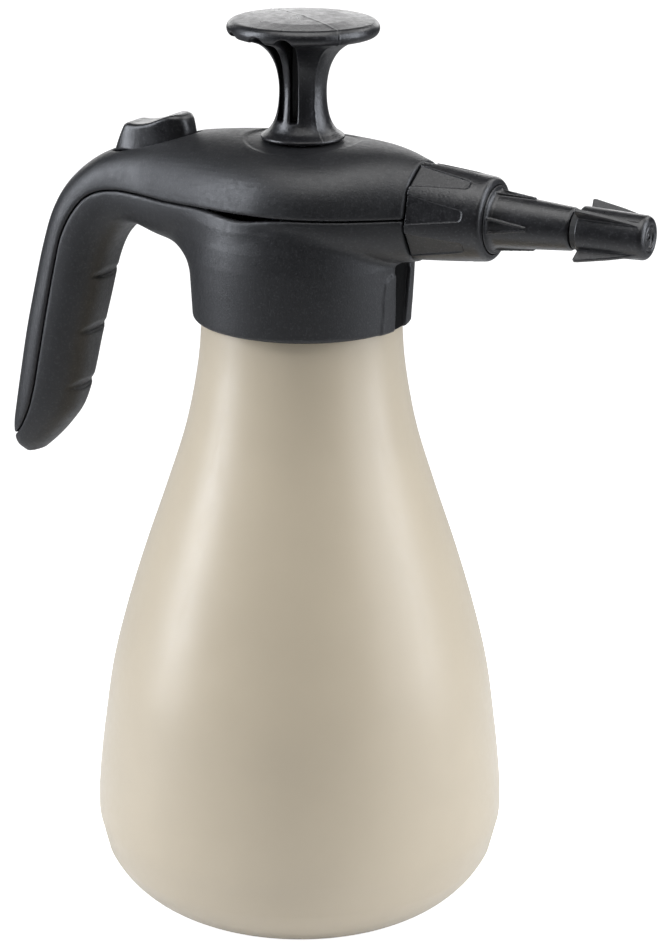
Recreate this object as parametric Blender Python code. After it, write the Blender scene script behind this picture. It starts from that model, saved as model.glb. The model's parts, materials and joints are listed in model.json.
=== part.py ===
"""Hand-pumped pressure sprayer: a bottle, a screw-on head with its pump, and an adjustable nozzle.

Lengths are in millimetres and MM turns them into metres. The origin is the centre of the
bottle's flat base, +Z is up and +X points along the nozzle. The handle is on the -X side.
"""

import math

import bmesh
import bpy
from mathutils import Matrix, Vector

MM = 0.001

# Bottle
BASE_RADIUS = 32.0
BASE_FILLET = 34.0
TANK_WALL = 2.0
SHOULDER = [(65.2, 40), (63.4, 60), (60.4, 80), (55.5, 100), (49.4, 120), (42.6, 140),
            (36.4, 160), (32.6, 180), (31.3, 196)]
NECK_RADIUS = 27.4
NECK_BORE = 25.2
NECK_FOOT = 199.0
NECK_RIM = 214.0

# Screw thread between bottle and head
THREAD_PITCH = 4.0
THREAD_WIDTH = 1.3
NECK_THREAD_CREST = 28.9
HEAD_THREAD_CREST = 27.9
HEAD_THREAD_ROOT = 29.3

# Head
HEAD_WALL = 2.2
SKIRT_FOOT = 195.0
SKIRT_RADIUS = 34.2
SKIRT_BORE = 31.9
DECK_UNDERSIDE = 219.0
DECK_TOP = 221.4
HEAD_FRONT = 41.5
NOZZLE_HEIGHT = 233.4
SEAM_GAP = 0.3
DISH_RADIUS = 18.0
DISH_FLOOR = 251.5
ROD_WINDOW = 10.0
SLOT_HALF_WIDTH = 5.3
SLOT_FLOOR = 32.5
SLOT_TOP = 217.0

# Pump
CYLINDER_RADIUS = 14.0
CYLINDER_BORE = 12.4
CYLINDER_FOOT = 134.0
CYLINDER_TOP = 238.0
CYLINDER_FLOOR = 2.0
FLANGE_RADIUS = 28.4
FLANGE_UNDERSIDE = 216.3
ROD_RADIUS = 4.5
PISTON_FOOT = 140.5
PISTON_TOP = 150.5
KNOB_FOOT = 252.0
KNOB_RADIUS = 23.0
KNOB_PARTING_DEG = -44.0

# Head screws
SCREW_CIRCLE = 21.0
SCREW_ANGLES_DEG = (-45.0, -135.0, 45.0)
SCREW_RADIUS = 1.6
BOSS_TOP = 248.3

# Liquid path
DIP_X = -20.3
DIP_OUTER = 4.1
DIP_INNER = 3.3
DIP_FOOT = 14.0
VALVE_X = -56.0
INLET_HEIGHT = 225.4
OUTLET_Y = 4.5
OUTLET_HEIGHT = 230.6
HOSE_OUTER = 2.8
HOSE_INNER = 1.95
SPIGOT_RADIUS = 1.6

# Trigger
PIVOT_X = -39.5
PIVOT_Z = 245.0
PIN_RADIUS = 1.2
TRIGGER_HALF_WIDTH = 7.6

# Nozzle
NUT_REAR = 42.0
NUT_FRONT = 65.6
NUT_REAR_RADIUS = 15.5
NUT_FRONT_RADIUS = 12.9
NUT_RECESSES = 8
LANCE_REAR = 54.8
LANCE_SHOULDER = 65.0
TUBE_END = 91.2
LANCE_END = 101.0
TIP_REAR = 93.6
TIP_FACE = 115.0
TIP_REAR_RADIUS = 7.3
TIP_FRONT_RADIUS = 6.7
FIN_RADIUS = 11.5

# Relief valve
RELIEF_HEIGHT = 225.8

ROUND = 18
FINE = 28

# Bodies with many holes through thin walls, where the exact solver leaves open edges
MANY_HOLES = ("lower_housing", "upper_cover", "pump_cylinder", "intake_filter")


# ---------------------------------------------------------------- helpers


def clear_scene():
    for obj in list(bpy.data.objects):
        bpy.data.objects.remove(obj, do_unlink=True)


def plastic(name, colour, roughness, metallic=0.0):
    material = bpy.data.materials.new(name)
    material.use_nodes = True
    shader = material.node_tree.nodes["Principled BSDF"]
    shader.inputs["Base Color"].default_value = (*colour, 1.0)
    shader.inputs["Roughness"].default_value = roughness
    shader.inputs["Metallic"].default_value = metallic
    return material


def arc(centre, radius, start_deg, end_deg, steps):
    """Points of a circular arc as (first, second) pairs."""
    points = []
    for i in range(steps + 1):
        angle = math.radians(start_deg + (end_deg - start_deg) * i / steps)
        points.append((centre[0] + radius * math.cos(angle), centre[1] + radius * math.sin(angle)))
    return points


def skin(bm, first, second):
    """Faces between two closed rings of vertices. Either ring may be a single point."""
    count = max(len(first), len(second))
    for i in range(count):
        j = (i + 1) % count
        if len(first) == 1:
            corners = [first[0], second[j], second[i]]
        elif len(second) == 1:
            corners = [first[i], first[j], second[0]]
        else:
            corners = [first[i], first[j], second[j], second[i]]
        bm.faces.new(corners)


def turned(profile, steps=ROUND):
    """A body turned about Z from a closed profile of (radius, height) points."""
    bm = bmesh.new()
    rings = []
    for radius, height in profile:
        if radius == 0:
            rings.append([bm.verts.new((0, 0, height))])
            continue
        ring = []
        for i in range(steps):
            angle = 2 * math.pi * i / steps
            ring.append(bm.verts.new((radius * math.cos(angle), radius * math.sin(angle), height)))
        rings.append(ring)
    for first, second in zip(rings, rings[1:] + rings[:1]):
        if len(first) > 1 or len(second) > 1:
            skin(bm, first, second)
    return bm


def lofted(sections):
    """A body skinned over closed sections of equal point count, with flat ends."""
    bm = bmesh.new()
    rings = [[bm.verts.new(point) for point in section] for section in sections]
    for first, second in zip(rings, rings[1:]):
        skin(bm, first, second)
    bm.faces.new(rings[0])
    bm.faces.new(rings[-1])
    return bm


def box(low, high):
    bm = bmesh.new()
    bmesh.ops.create_cube(bm, size=1.0)
    size = Vector(high) - Vector(low)
    bmesh.ops.scale(bm, vec=size, verts=bm.verts)
    bmesh.ops.translate(bm, vec=Vector(low) + size / 2, verts=bm.verts)
    return bm


def slab(outline, low_y, high_y):
    """A body extruded along Y from an outline of (x, z) points."""
    near = [(x, low_y, z) for x, z in outline]
    far = [(x, high_y, z) for x, z in outline]
    return lofted([near, far])


def rod_between(start, end, radius, steps=12):
    """A solid round rod between two points."""
    start, end = Vector(start), Vector(end)
    bm = turned([(0, 0), (radius, 0), (radius, (end - start).length), (0, (end - start).length)], steps)
    turn = Vector((0, 0, 1)).rotation_difference(end - start).to_matrix().to_4x4()
    bmesh.ops.transform(bm, matrix=Matrix.Translation(start) @ turn, verts=bm.verts)
    return bm


def along_x(bm, height=NOZZLE_HEIGHT):
    """Lays a body that was turned about Z along +X at the given height."""
    lay = Matrix(((0, 0, 1, 0), (0, 1, 0, 0), (-1, 0, 0, height), (0, 0, 0, 1)))
    bmesh.ops.transform(bm, matrix=lay, verts=bm.verts)
    return bm


def curve_points(control, steps):
    """A smooth Catmull-Rom curve through the control points."""
    points = [Vector(p) for p in control]
    ends = [2 * points[0] - points[1]] + points + [2 * points[-1] - points[-2]]
    path = []
    for i in range(1, len(ends) - 2):
        a, b, c, d = ends[i - 1:i + 3]
        for k in range(steps):
            t = k / steps
            path.append(0.5 * (2 * b + (c - a) * t + (2 * a - 5 * b + 4 * c - d) * t * t
                               + (3 * b - a - 3 * c + d) * t ** 3))
    path.append(points[-1])
    return path


def round_sections(path, radius, count):
    """Round sections across a path, kept from twisting by a fixed side direction."""
    sections = []
    for i, point in enumerate(path):
        before = path[max(i - 1, 0)]
        after = path[min(i + 1, len(path) - 1)]
        ahead = (after - before).normalized()
        side = ahead.cross(Vector((0, 0, 1))).normalized()
        up = side.cross(ahead)
        section = []
        for k in range(count):
            angle = 2 * math.pi * k / count
            section.append(point + radius * (math.cos(angle) * side + math.sin(angle) * up))
        sections.append(section)
    return sections


def hollow_tube(path, outer, inner, count=8):
    """A tube with open ends along a path."""
    bm = bmesh.new()
    outside = [[bm.verts.new(p) for p in ring] for ring in round_sections(path, outer, count)]
    inside = [[bm.verts.new(p) for p in ring] for ring in round_sections(path, inner, count)]
    loop = outside + inside[::-1]
    for first, second in zip(loop, loop[1:] + loop[:1]):
        skin(bm, first, second)
    return bm


def helical_ridge(root, crest, foot, turns, width, steps_per_turn=20):
    """A screw thread's ridge, as a helix of trapezoid sections."""
    sections = []
    steps = int(turns * steps_per_turn)
    for i in range(steps + 1):
        angle = 2 * math.pi * i / steps_per_turn
        height = foot + THREAD_PITCH * i / steps_per_turn
        half_root, half_crest = width / 2, width / 4
        section = []
        for radius, shift in ((root, -half_root), (crest, -half_crest), (crest, half_crest), (root, half_root)):
            section.append((radius * math.cos(angle), radius * math.sin(angle), height + shift))
        sections.append(section)
    return lofted(sections)


def coil(centre_axis, radius, wire, turns, length, direction):
    """A coil spring: wire sections along a helix about the given axis."""
    origin = Vector(centre_axis)
    ahead = Vector(direction)
    side = Vector((1, 0, 0))
    up = ahead.cross(side)
    steps = int(turns * 10)
    sections = []
    for i in range(steps + 1):
        angle = 2 * math.pi * turns * i / steps
        outward = math.cos(angle) * side + math.sin(angle) * up
        middle = origin + ahead * (wire + (length - 2 * wire) * i / steps) + outward * radius
        section = []
        for k in range(4):
            turn = math.pi / 2 * k
            section.append(middle + wire * (math.cos(turn) * outward + math.sin(turn) * ahead))
        sections.append(section)
    return lofted(sections)


def make(name, bm, material, origin=(0, 0, 0), helper=False):
    """An object in metres from a mesh in millimetres, with its origin at the given point."""
    bmesh.ops.recalc_face_normals(bm, faces=bm.faces)
    bmesh.ops.translate(bm, vec=-Vector(origin), verts=bm.verts)
    bmesh.ops.scale(bm, vec=(MM, MM, MM), verts=bm.verts)
    mesh = bpy.data.meshes.new(name)
    bm.to_mesh(mesh)
    bm.free()
    mesh.materials.append(material)
    mesh.shade_smooth()
    mesh.set_sharp_from_angle(angle=math.radians(35))
    obj = bpy.data.objects.new(name, mesh)
    obj.location = Vector(origin) * MM
    bpy.context.scene.collection.objects.link(obj)
    if helper:
        obj.hide_render = True
        obj.display_type = "WIRE"
    return obj


def combine(obj, bm, operation):
    """Adds a Boolean with the given body to an object."""
    label = f"{obj.name}_{operation.lower()}_{len(obj.modifiers)}"
    other = make(label, bm, obj.data.materials[0], helper=True)
    modifier = obj.modifiers.new(label, "BOOLEAN")
    modifier.operation = operation
    modifier.solver = "MANIFOLD" if obj.name in MANY_HOLES else "EXACT"
    modifier.object = other
    return obj


def cut(obj, bm):
    return combine(obj, bm, "DIFFERENCE")


def join(obj, bm):
    return combine(obj, bm, "UNION")


def keep(obj, bm):
    return combine(obj, bm, "INTERSECT")


# ---------------------------------------------------------------- bottle


def tank_outline(inset):
    """The bottle's (radius, height) side from the base to the neck's foot, moved inwards."""
    fillet = arc((BASE_RADIUS, BASE_FILLET), BASE_FILLET - inset, -90, -8, 5)
    return fillet + [(radius - inset, height) for radius, height in SHOULDER]


def make_tank(material):
    outer = [(0, 0)] + tank_outline(0)
    outer += [(NECK_RADIUS, NECK_FOOT), (NECK_RADIUS, NECK_RIM)]
    inner = [(0, TANK_WALL)] + tank_outline(TANK_WALL)[:-1]
    inner += [(31.3 - TANK_WALL, NECK_FOOT - 7), (NECK_BORE, NECK_FOOT - 1), (NECK_BORE, NECK_RIM)]
    tank = make("tank", turned(outer + inner[::-1], FINE), material)
    ridge = helical_ridge(NECK_RADIUS - 0.6, NECK_THREAD_CREST, 205.0, 1.5, THREAD_WIDTH)
    return join(tank, ridge)


def make_neck_seal(material):
    ring = [(28.3, 214.3), (28.3, 216.0), (25.3, 216.0), (25.3, 214.3)]
    return make("neck_seal", turned(ring, FINE), material)


# ---------------------------------------------------------------- head shells

# Sections of the head from nozzle to handle foot, in the XZ plane: (top or back point,
# widest point, bottom or finger-side point, half width, squareness)
HEAD_SECTIONS = [
    ((41.5, 248.8), (41.5, 233.4), (41.5, 218.0), 15.4, 2.0),
    ((33.0, 250.3), (33.0, 233.4), (33.5, 217.0), 20.2, 2.1),
    ((24.0, 251.3), (24.0, 233.4), (25.0, 216.8), 25.2, 2.2),
    ((13.0, 252.0), (13.0, 233.4), (13.0, 216.8), 30.6, 2.35),
    ((2.0, 252.3), (2.0, 233.4), (2.0, 216.8), 34.0, 2.4),
    ((-8.0, 252.3), (-8.0, 233.2), (-8.0, 216.8), 34.0, 2.4),
    ((-18.0, 251.9), (-18.0, 232.8), (-18.0, 216.8), 30.6, 2.35),
    ((-28.0, 251.2), (-28.0, 232.2), (-28.0, 216.8), 25.8, 2.3),
    ((-38.0, 249.9), (-38.0, 231.6), (-37.0, 216.0), 20.8, 2.3),
    ((-48.0, 247.8), (-48.0, 231.3), (-46.5, 217.2), 16.8, 2.4),
    ((-60.0, 244.4), (-58.0, 231.2), (-55.0, 218.8), 14.0, 2.5),
    ((-71.5, 239.4), (-66.5, 229.6), (-59.6, 217.8), 12.9, 2.5),
    ((-81.0, 231.4), (-73.4, 224.4), (-63.0, 214.8), 12.5, 2.5),
    ((-87.2, 221.6), (-78.2, 217.4), (-65.8, 210.6), 12.3, 2.5),
    ((-91.4, 209.4), (-81.4, 207.0), (-68.6, 203.6), 12.1, 2.5),
    ((-94.8, 196.0), (-84.6, 194.2), (-71.6, 191.8), 12.0, 2.5),
    ((-98.2, 181.0), (-88.4, 179.4), (-75.4, 177.4), 11.9, 2.5),
    ((-101.0, 167.0), (-91.6, 166.0), (-78.8, 164.8), 11.6, 2.4),
    ((-103.4, 155.0), (-94.8, 155.0), (-83.0, 155.0), 11.0, 2.3),
    ((-104.8, 146.6), (-98.0, 147.4), (-88.0, 148.8), 9.6, 2.2),
    ((-104.2, 140.6), (-99.6, 141.6), (-92.6, 143.2), 7.2, 2.1),
    ((-101.6, 137.4), (-99.4, 137.8), (-96.4, 138.6), 3.6, 2.0),
]
SECTION_POINTS = 18

# The seam, from the nozzle to the foot of the handle
SEAM = [(48.0, 233.4), (0.0, 233.4), (-18.0, 232.8), (-38.0, 231.6), (-60.0, 231.2), (-66.5, 229.9),
        (-72.0, 227.0), (-76.6, 221.8), (-80.0, 215.8), (-82.2, 209.5), (-86.4, 191.5),
        (-90.3, 172.6), (-93.6, 158.6), (-97.0, 150.4), (-101.6, 144.4), (-112.0, 138.0)]


def head_section(back, middle, front, half_width, squareness, inset, floor=None):
    """A rounded section across the head, moved inwards by a wall thickness."""
    middle = Vector((middle[0], 0, middle[1]))
    arms = []
    for tip in (back, front):
        arm = Vector((tip[0], 0, tip[1])) - middle
        arms.append(arm * (1 - inset / arm.length))
    if floor is not None and (middle + arms[1]).z < floor:
        arms[1].z = floor - middle.z
    points = []
    for i in range(SECTION_POINTS):
        angle = 2 * math.pi * i / SECTION_POINTS
        across = math.copysign(abs(math.cos(angle)) ** (2 / squareness), math.cos(angle))
        rise = abs(math.sin(angle)) ** (2 / squareness)
        arm = arms[0] if math.sin(angle) >= 0 else arms[1]
        point = middle + arm * rise
        points.append((point.x, (half_width - inset) * across, point.z))
    return points


def head_solid():
    return lofted([head_section(*row, inset=0.0) for row in HEAD_SECTIONS])


def head_hollow():
    """The space inside the head: above the deck over the neck, then down the handle."""
    sections = []
    for row in HEAD_SECTIONS[:-3]:
        floor = DECK_TOP if row[1][0] > -45 else None
        sections.append(head_section(*row, inset=HEAD_WALL, floor=floor))
    sections[0] = [(x - HEAD_WALL, y, z) for x, y, z in sections[0]]
    return lofted(sections)


def seam_half(shift):
    """Everything above and behind the seam, as a thick slab, with the seam moved down by shift."""
    outline = [(x, z - shift) for x, z in SEAM]
    outline += [(-140.0, 120.0), (-140.0, 300.0), (48.0, 300.0)]
    return slab(outline, -60.0, 60.0)


def skirt_solid():
    foot = arc((SKIRT_RADIUS - 1.6, SKIRT_FOOT + 1.6), 1.6, -90, 0, 4)
    side = [(35.0, 208.0), (35.2, 217.0), (34.8, 225.0), (34.3, 232.0)]
    return turned([(0, SKIRT_FOOT)] + foot + side + [(0, 232.0)], FINE)


def skirt_bore():
    return turned([(0, SKIRT_FOOT - 3), (SKIRT_BORE, SKIRT_FOOT - 3), (SKIRT_BORE, 200.0),
                   (HEAD_THREAD_ROOT, 202.0), (HEAD_THREAD_ROOT, DECK_UNDERSIDE),
                   (0, DECK_UNDERSIDE)], FINE)


def deck_hollow():
    """The round space above the deck, inside the upper part of the skirt."""
    radius = SKIRT_RADIUS - HEAD_WALL
    return turned([(0, DECK_TOP), (radius, DECK_TOP), (radius, NOZZLE_HEIGHT), (0, NOZZLE_HEIGHT)], FINE)


def upright_hole(x, y, radius, low, high, steps=14):
    return rod_between((x, y, low), (x, y, high), radius, steps)


def screw_places():
    places = []
    for degrees in SCREW_ANGLES_DEG:
        angle = math.radians(degrees)
        places.append((SCREW_CIRCLE * math.cos(angle), SCREW_CIRCLE * math.sin(angle)))
    return places


def make_lower_housing(material):
    housing = make("lower_housing", head_solid(), material)
    join(housing, skirt_solid())
    cut(housing, seam_half(SEAM_GAP / 2))
    cut(housing, head_hollow())
    cut(housing, deck_hollow())
    cut(housing, skirt_bore())
    join(housing, helical_ridge(HEAD_THREAD_ROOT + 0.6, HEAD_THREAD_CREST, 203.0, 1.75, THREAD_WIDTH))
    cut(housing, upright_hole(0, 0, CYLINDER_RADIUS + 0.4, DECK_UNDERSIDE - 2, DECK_TOP + 2, FINE))
    cut(housing, upright_hole(DIP_X, 0, DIP_OUTER + 0.4, DECK_UNDERSIDE - 2, DECK_TOP + 2))
    cut(housing, upright_hole(0, SCREW_CIRCLE, 1.5, DECK_UNDERSIDE - 2, DECK_TOP + 2, 12))
    for x, y in screw_places():
        cut(housing, upright_hole(x, y, SCREW_RADIUS + 0.3, DECK_UNDERSIDE - 2, DECK_TOP + 2, 12))
    cut(housing, rod_between((HEAD_FRONT - 8, 0, NOZZLE_HEIGHT), (HEAD_FRONT + 4, 0, NOZZLE_HEIGHT), 8.8, ROUND))
    cut(housing, rod_between((0, 24, RELIEF_HEIGHT), (0, 46, RELIEF_HEIGHT), 3.2))
    cut(housing, box((SLOT_FLOOR, -SLOT_HALF_WIDTH, SKIRT_FOOT - 3), (42, SLOT_HALF_WIDTH, SLOT_TOP)))
    return housing


def make_upper_cover(material):
    cover = make("upper_cover", head_solid(), material)
    keep(cover, seam_half(-SEAM_GAP / 2))
    cut(cover, head_hollow())
    for x, y in screw_places():
        join(cover, upright_hole(x, y, 3.2, DECK_TOP + 0.3, BOSS_TOP, 10))
        cut(cover, upright_hole(x, y, SCREW_RADIUS + 0.3, DECK_TOP - 1, 236.0, 12))
    cut(cover, upright_hole(0, 0, DISH_RADIUS, DISH_FLOOR, 256.0, FINE))
    cut(cover, upright_hole(0, 0, ROD_WINDOW, 240.0, 256.0, ROUND))
    cut(cover, rod_between((HEAD_FRONT - 8, 0, NOZZLE_HEIGHT), (HEAD_FRONT + 4, 0, NOZZLE_HEIGHT), 8.8, ROUND))
    cut(cover, box((-68.6, -8.1, 237.0), (-35.6, 8.1, 262.0)))
    for side in (-1, 1):
        ear_y = sorted((side * 8.4, side * 11.0))
        join(cover, box((PIVOT_X - 3, ear_y[0], PIVOT_Z - 4), (PIVOT_X + 3, ear_y[1], PIVOT_Z + 2.0)))
    cut(cover, rod_between((PIVOT_X, -10.4, PIVOT_Z), (PIVOT_X, 10.4, PIVOT_Z), PIN_RADIUS + 0.3, 12))
    return cover


def make_head_screws(material):
    profile = [(0, 213.6), (3.0, 213.6), (3.0, 215.9), (SCREW_RADIUS, 215.9), (SCREW_RADIUS, 232.0),
               (0.6, 234.0), (0, 234.0)]
    for number, (x, y) in enumerate(screw_places(), start=1):
        bm = turned(profile, 12)
        bmesh.ops.translate(bm, vec=(x, y, 0), verts=bm.verts)
        make(f"head_screw_{number}", bm, material, origin=(x, y, 213.6))


# ---------------------------------------------------------------- pump


def make_pump_cylinder(material):
    flange_top = DECK_UNDERSIDE - 0.3
    floor = CYLINDER_FOOT + CYLINDER_FLOOR
    profile = [(0, CYLINDER_FOOT), (CYLINDER_RADIUS, CYLINDER_FOOT), (CYLINDER_RADIUS, FLANGE_UNDERSIDE),
               (FLANGE_RADIUS, FLANGE_UNDERSIDE), (FLANGE_RADIUS, flange_top),
               (CYLINDER_RADIUS, flange_top), (CYLINDER_RADIUS, CYLINDER_TOP),
               (CYLINDER_BORE, CYLINDER_TOP), (CYLINDER_BORE, floor), (0, floor)]
    cylinder = make("pump_cylinder", turned(profile, ROUND), material)
    cut(cylinder, upright_hole(0, 0, 1.7, CYLINDER_FOOT - 2, floor + 2, 12))
    for i in range(4):
        angle = math.pi / 4 + math.pi / 2 * i
        cut(cylinder, upright_hole(5 * math.cos(angle), 5 * math.sin(angle), 1.4, CYLINDER_FOOT - 2, floor + 2, 10))
    cut(cylinder, upright_hole(DIP_X, 0, DIP_OUTER + 0.4, FLANGE_UNDERSIDE - 2, flange_top + 2))
    cut(cylinder, upright_hole(0, SCREW_CIRCLE, 1.5, FLANGE_UNDERSIDE - 2, flange_top + 2, 12))
    for x, y in screw_places():
        cut(cylinder, upright_hole(x, y, SCREW_RADIUS + 0.3, FLANGE_UNDERSIDE - 2, flange_top + 2, 12))
    return cylinder


def make_cylinder_cap(material):
    profile = [(16.3, 229.5), (16.3, 241.0), (9.4, 241.0), (9.4, 247.5), (ROD_RADIUS + 0.4, 247.5),
               (ROD_RADIUS + 0.4, CYLINDER_TOP + 0.3), (CYLINDER_RADIUS + 0.3, CYLINDER_TOP + 0.3),
               (CYLINDER_RADIUS + 0.3, 229.5)]
    return make("cylinder_cap", turned(profile, ROUND), material)


def make_piston(material):
    profile = [(0, PISTON_FOOT), (11.8, PISTON_FOOT), (11.8, 143.6), (9.8, 143.6), (9.8, 147.4),
               (11.8, 147.4), (11.8, PISTON_TOP), (3.0, PISTON_TOP), (3.0, 145.0), (0, 145.0)]
    return make("piston", turned(profile), material, origin=(0, 0, PISTON_FOOT))


def make_piston_seal(material):
    profile = [(10.1, 143.9), (12.1, 143.9), (12.1, 147.1), (10.1, 147.1)]
    return make("piston_seal", turned(profile), material, origin=(0, 0, PISTON_FOOT))


def make_pump_rod(material):
    profile = [(0, 145.3), (2.7, 145.3), (2.7, PISTON_TOP + 0.3), (ROD_RADIUS, PISTON_TOP + 0.3),
               (ROD_RADIUS, 256.6), (0, 256.6)]
    return make("pump_rod", turned(profile, 16), material, origin=(0, 0, PISTON_FOOT))


def knob_profile():
    """The knob's side from its foot flange, up the waisted stem and round the disc's rim."""
    foot = [(ROD_RADIUS + 0.3, KNOB_FOOT), (12.3, KNOB_FOOT), (13.0, KNOB_FOOT + 0.9), (12.8, KNOB_FOOT + 1.9)]
    stem = [(10.6, 255.4), (9.0, 258.0), (7.9, 262.0), (7.3, 267.5), (7.6, 273.0), (8.9, 277.5),
            (11.8, 281.2), (16.4, 283.6), (20.4, 284.6)]
    rim = arc((KNOB_RADIUS - 2.1, 286.8), 2.1, -70, 80, 5)
    crown = [(14.0, 289.6), (0, 290.0), (0, 256.9), (ROD_RADIUS + 0.3, 256.9)]
    return foot + stem + rim + crown


def make_pump_knob(material):
    knob = make("pump_knob", turned(knob_profile(), 24), material, origin=(0, 0, KNOB_FOOT))
    parting = Matrix.Rotation(math.radians(KNOB_PARTING_DEG), 4, "Z")
    for along in (-4.4, 0.0, 4.4):
        for side in (-1, 1):
            ends = sorted((side * 1.4, side * 12.0))
            slot = box((along - 1.1, ends[0], 258.6), (along + 1.1, ends[1], 282.4))
            bmesh.ops.transform(slot, matrix=parting, verts=slot.verts)
            cut(knob, slot)
    return knob


def make_foot_valve(material):
    profile = [(0, 132.2), (8.0, 132.6), (8.0, 133.7), (1.2, 133.7), (1.2, 137.5), (2.2, 137.7),
               (1.8, 139.0), (0, 139.4)]
    return make("foot_valve", turned(profile, 14), material, origin=(0, 0, 133.7))


# ---------------------------------------------------------------- trigger and valve


def make_thumb_trigger(material):
    outline = [(-66.6, 241.0), (-65.6, 244.6), (-62.6, 250.0), (-61.0, 250.8), (-55.6, 250.9),
               (-51.0, 251.9), (-46.6, 253.9), (-42.8, 255.1), (-39.4, 255.0), (-37.6, 253.4),
               (-36.6, 249.0), (-36.7, 243.4), (-38.4, 242.0), (-50.0, 242.0), (-60.0, 242.0)]
    trigger = make("thumb_trigger", slab(outline, -TRIGGER_HALF_WIDTH, TRIGGER_HALF_WIDTH), material,
                   origin=(PIVOT_X, 0, PIVOT_Z))
    cut(trigger, rod_between((PIVOT_X, -9, PIVOT_Z), (PIVOT_X, 9, PIVOT_Z), PIN_RADIUS + 0.1, 12))
    bevel = trigger.modifiers.new("soft_edges", "BEVEL")
    bevel.width = 1.4 * MM
    bevel.segments = 2
    bevel.limit_method = "ANGLE"
    bevel.angle_limit = math.radians(60)
    trigger.modifiers.move(1, 0)
    return trigger


def make_trigger_pin(material):
    pin = rod_between((PIVOT_X, -10.1, PIVOT_Z), (PIVOT_X, 10.1, PIVOT_Z), PIN_RADIUS, 12)
    return make("trigger_pin", pin, material, origin=(PIVOT_X, 0, PIVOT_Z))


def make_valve_body(material):
    barrel = [(0, 222.3), (5.4, 222.3), (5.4, 233.5), (3.0, 233.5), (3.0, 229.0), (2.3, 229.0),
              (2.3, 223.3), (0, 223.3)]
    bm = turned(barrel, 16)
    bmesh.ops.translate(bm, vec=(VALVE_X, 0, 0), verts=bm.verts)
    body = make("valve_body", bm, material, origin=(VALVE_X, 0, INLET_HEIGHT))
    join(body, rod_between((VALVE_X + 4, 0, INLET_HEIGHT), (DIP_X + 2.9, 0, INLET_HEIGHT), 3.0))
    join(body, rod_between((DIP_X, 0, INLET_HEIGHT), (DIP_X, 0, 209.0), 2.9))
    join(body, rod_between((VALVE_X + 3, OUTLET_Y, OUTLET_HEIGHT), (-46.4, OUTLET_Y, OUTLET_HEIGHT), SPIGOT_RADIUS, 10))
    cut(body, rod_between((VALVE_X, 0, INLET_HEIGHT), (DIP_X + 0.6, 0, INLET_HEIGHT), 1.5, 12))
    cut(body, rod_between((DIP_X, 0, INLET_HEIGHT - 0.4), (DIP_X, 0, 205.0), 1.7, 12))
    return body


def make_valve_stem(material):
    profile = [(0, 227.0), (1.9, 227.0), (1.9, 239.6), (4.4, 239.6), (4.4, 240.4), (1.8, 240.4),
               (1.2, 241.3), (0, 241.5)]
    bm = turned(profile, 16)
    bmesh.ops.translate(bm, vec=(VALVE_X, 0, 0), verts=bm.verts)
    return make("valve_stem", bm, material, origin=(VALVE_X, 0, 239.6))


def make_valve_seal(material):
    bm = turned([(2.15, 229.3), (2.75, 229.3), (2.75, 231.3), (2.15, 231.3)], 20)
    bmesh.ops.translate(bm, vec=(VALVE_X, 0, 0), verts=bm.verts)
    return make("valve_seal", bm, material, origin=(VALVE_X, 0, 229.3))


def make_valve_spring(material):
    bm = coil((VALVE_X, 0, 233.8), 3.7, 0.25, 3.5, 5.5, (0, 0, 1))
    return make("valve_spring", bm, material, origin=(VALVE_X, 0, 233.8))


# ---------------------------------------------------------------- liquid path


def make_dip_tube(material):
    path = [Vector((DIP_X, 0, DIP_FOOT)), Vector((DIP_X, 0, 221.0))]
    profile = [(DIP_OUTER, path[0].z), (DIP_OUTER, path[1].z), (DIP_INNER, path[1].z), (DIP_INNER, path[0].z)]
    bm = turned(profile, 14)
    bmesh.ops.translate(bm, vec=(DIP_X, 0, 0), verts=bm.verts)
    return make("dip_tube", bm, material, origin=(DIP_X, 0, DIP_FOOT))


def make_intake_filter(material):
    profile = [(0, 6.0), (5.4, 6.0), (6.4, 7.0), (6.4, 22.0), (DIP_OUTER + 0.3, 23.0),
               (DIP_OUTER + 0.3, DIP_FOOT - 0.3), (0, DIP_FOOT - 0.3)]
    bm = turned(profile, 14)
    bmesh.ops.translate(bm, vec=(DIP_X, 0, 0), verts=bm.verts)
    intake = make("intake_filter", bm, material, origin=(DIP_X, 0, 6.0))
    cut(intake, upright_hole(DIP_X, 0, 2.4, 8.0, DIP_FOOT + 2, 12))
    for turn in range(2):
        reach = Vector((9, 0, 0)) if turn == 0 else Vector((0, 9, 0))
        middle = Vector((DIP_X, 0, 10.6))
        cut(intake, rod_between(middle - reach, middle + reach, 1.2, 10))
    return intake


def make_feed_hose(material):
    control = [(-49.0, 4.5, 230.6), (-45.4, 4.5, 230.6), (-41.0, 5.2, 230.7), (-33.0, 10.5, 231.4), (-20.0, 21.0, 232.6),
               (0.0, 27.2, 233.4), (18.2, 21.8, 233.4), (25.4, 10.4, 233.4), (27.8, 2.4, 233.4),
               (31.5, 0.0, 233.4), (35.6, 0.0, 233.4)]
    bm = hollow_tube(curve_points(control, 2), HOSE_OUTER, HOSE_INNER)
    return make("feed_hose", bm, material, origin=control[0])


def make_outlet_fitting(material):
    profile = [(1.0, 32.4), (SPIGOT_RADIUS, 32.4), (SPIGOT_RADIUS, 36.4), (11.2, 36.4), (11.2, 38.9),
               (8.4, 38.9), (8.4, 53.0), (1.0, 53.0)]
    return make("outlet_fitting", along_x(turned(profile, ROUND)), material, origin=(38.9, 0, NOZZLE_HEIGHT))


# ---------------------------------------------------------------- nozzle


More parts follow.
